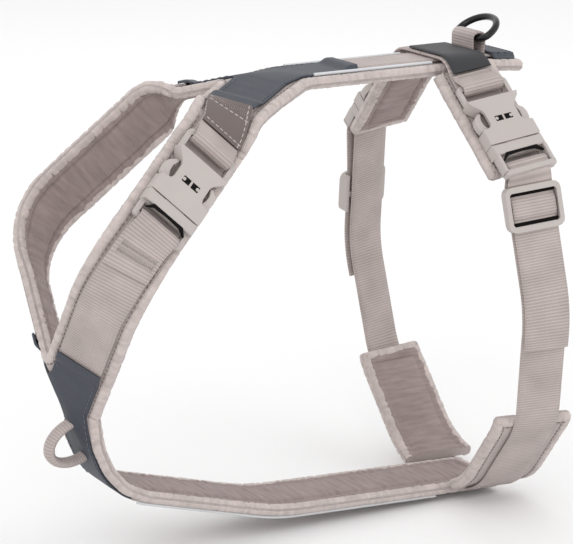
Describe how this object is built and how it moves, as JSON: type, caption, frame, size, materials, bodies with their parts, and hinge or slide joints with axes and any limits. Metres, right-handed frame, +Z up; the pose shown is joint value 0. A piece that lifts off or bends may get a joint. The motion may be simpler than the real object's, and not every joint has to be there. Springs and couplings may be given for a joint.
{
  "type": "no pull dog harness",
  "caption": "Padded dog harness of webbing with neck and chest straps, side release buckles, sliders, a D-ring on the back and a leash loop at the chest",
  "frame": {"origin": "on the underside of the flat back pad, on the harness's middle plane, between the withers and the girth strap", "axes": "+X towards the dog's tail, +Y to the dog's right, +Z up, away from the dog's back"},
  "size_m": [0.279, 0.1936, 0.2677],
  "materials": {
    "padded_lining": "matt woven padding with light bound edges",
    "ribbed_webbing": "ribbed polyester webbing",
    "slate_facing": "matt grained leatherette",
    "brown_tape": "smooth stitched tape",
    "charcoal_label": "bare matt label, no print",
    "reflective_piping": "reflective tape",
    "taupe_plastic": "moulded acetal, fine satin",
    "black_metal": "gloss black on welded steel wire"
  },
  "bodies": {
    "root": {"back_pad": "padded_lining", "back_piping_left": "reflective_piping", "back_piping_right": "reflective_piping", "back_webbing": "ribbed_webbing", "belly_pad": "padded_lining", "belly_piping_left": "reflective_piping", "belly_piping_right": "reflective_piping", "belly_webbing": "ribbed_webbing", "belly_wing_left": "padded_lining", "belly_wing_right": "padded_lining", "chest_patch": "slate_facing", "girth_buckle_left_socket": "taupe_plastic", "girth_buckle_right_socket": "taupe_plastic", "girth_pad_left": "padded_lining", "girth_pad_right": "padded_lining", "girth_webbing_lower_left": "ribbed_webbing", "girth_webbing_lower_right": "ribbed_webbing", "girth_webbing_upper_left": "ribbed_webbing", "girth_webbing_upper_right": "ribbed_webbing", "label_patch": "charcoal_label", "leash_loop": "ribbed_webbing", "neck_buckle_socket": "taupe_plastic", "neck_pad_left": "padded_lining", "neck_pad_right": "padded_lining", "neck_tab": "brown_tape", "neck_webbing_left": "ribbed_webbing", "neck_webbing_right": "ribbed_webbing", "neck_webbing_upper": "ribbed_webbing", "rear_patch": "slate_facing", "ring_loop": "ribbed_webbing", "yoke_patch": "slate_facing"},
    "neck_plug": {"neck_buckle_plug": "taupe_plastic"},
    "neck_latch_front": {"neck_buckle_latch_front": "taupe_plastic"},
    "neck_latch_rear": {"neck_buckle_latch_rear": "taupe_plastic"},
    "girth_left_plug": {"girth_buckle_left_plug": "taupe_plastic"},
    "girth_left_latch_front": {"girth_buckle_left_latch_front": "taupe_plastic"},
    "girth_left_latch_rear": {"girth_buckle_left_latch_rear": "taupe_plastic"},
    "girth_left_slider": {"girth_slider_left": "taupe_plastic"},
    "girth_right_plug": {"girth_buckle_right_plug": "taupe_plastic"},
    "girth_right_latch_front": {"girth_buckle_right_latch_front": "taupe_plastic"},
    "girth_right_latch_rear": {"girth_buckle_right_latch_rear": "taupe_plastic"},
    "girth_right_slider": {"girth_slider_right": "taupe_plastic"},
    "ring": {"d_ring": "black_metal"}
  },
  "joints": [
    {"name": "neck_buckle_release", "type": "slide", "parent": "root", "child": "neck_plug", "axis": [-0.7185, -0.2227, -0.6588], "range_m": [0, 0.024], "deforming": ["neck_buckle_latch_front", "neck_buckle_latch_rear", "neck_webbing_left"]},
    {"name": "neck_latch_front_press", "type": "hinge", "parent": "neck_plug", "child": "neck_latch_front", "pos_m": [-0.14813, -0.04771, -0.04029], "axis": [-0.0103, 0.9506, -0.3102], "range_deg": [0, 9], "stiffness_Nm_per_rad": 0.05},
    {"name": "neck_latch_rear_press", "type": "hinge", "parent": "neck_plug", "child": "neck_latch_rear", "pos_m": [-0.13491, -0.05182, -0.05332], "axis": [0.0103, -0.9506, 0.3102], "range_deg": [0, 9], "stiffness_Nm_per_rad": 0.05},
    {"name": "girth_left_buckle_release", "type": "slide", "parent": "root", "child": "girth_left_plug", "axis": [0.0818, -0.7042, -0.7053], "range_m": [0, 0.024], "deforming": ["girth_buckle_left_latch_front", "girth_buckle_left_latch_rear", "girth_webbing_lower_left"]},
    {"name": "girth_left_latch_front_press", "type": "hinge", "parent": "girth_left_plug", "child": "girth_left_latch_front", "pos_m": [0.04554, -0.06419, -0.0358], "axis": [0.09, 0.71, -0.6984], "range_deg": [0, 9], "stiffness_Nm_per_rad": 0.05},
    {"name": "girth_left_latch_rear_press", "type": "hinge", "parent": "girth_left_plug", "child": "girth_left_latch_rear", "pos_m": [0.0644, -0.06431, -0.03349], "axis": [-0.09, -0.71, 0.6984], "range_deg": [0, 9], "stiffness_Nm_per_rad": 0.05},
    {"name": "girth_left_slider_travel", "type": "slide", "parent": "girth_left_plug", "child": "girth_left_slider", "axis": [0.0712, -0.1938, -0.9785], "range_m": [0, 0.024]},
    {"name": "girth_right_buckle_release", "type": "slide", "parent": "root", "child": "girth_right_plug", "axis": [0.0818, 0.7042, -0.7053], "range_m": [0, 0.024], "deforming": ["girth_buckle_right_latch_front", "girth_buckle_right_latch_rear", "girth_webbing_lower_right"]},
    {"name": "girth_right_latch_front_press", "type": "hinge", "parent": "girth_right_plug", "child": "girth_right_latch_front", "pos_m": [0.04554, 0.06419, -0.0358], "axis": [-0.09, 0.71, 0.6984], "range_deg": [0, 9], "stiffness_Nm_per_rad": 0.05},
    {"name": "girth_right_latch_rear_press", "type": "hinge", "parent": "girth_right_plug", "child": "girth_right_latch_rear", "pos_m": [0.0644, 0.06431, -0.03349], "axis": [0.09, -0.71, -0.6984], "range_deg": [0, 9], "stiffness_Nm_per_rad": 0.05},
    {"name": "girth_right_slider_travel", "type": "slide", "parent": "girth_right_plug", "child": "girth_right_slider", "axis": [0.0712, 0.1938, -0.9785], "range_m": [-0.022, 0.002]},
    {"name": "d_ring_swing", "type": "hinge", "parent": "root", "child": "ring", "pos_m": [0.0697, 0, 0.01544], "axis": [0, 1, 0], "range_deg": [-145, 46]}
  ]
}
